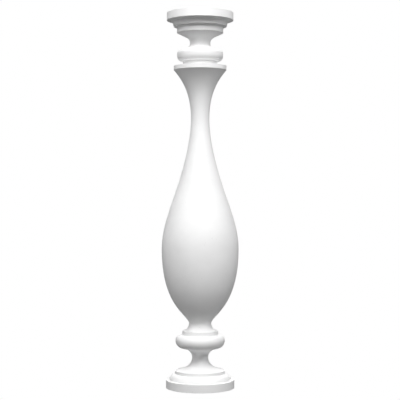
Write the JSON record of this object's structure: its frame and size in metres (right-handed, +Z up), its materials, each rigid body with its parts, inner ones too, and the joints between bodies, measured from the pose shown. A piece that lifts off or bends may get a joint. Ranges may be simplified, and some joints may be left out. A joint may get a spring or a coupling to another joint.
{
  "type": "baluster",
  "caption": "Round vase-shaped baluster with a turned foot, a ring, a long belly and throat, and a capped top, for a stair or balustrade.",
  "frame": {"origin": "centre of the underside of the foot disc", "axes": "+Z up along the baluster's axis, from the foot to the top disc; X and Y are alike, because the form is round"},
  "size_m": [0.1436, 0.1436, 0.7],
  "materials": {
    "plaster": "matt white cast plaster"
  },
  "bodies": {
    "root": {"baluster": "plaster"}
  },
  "joints": []
}
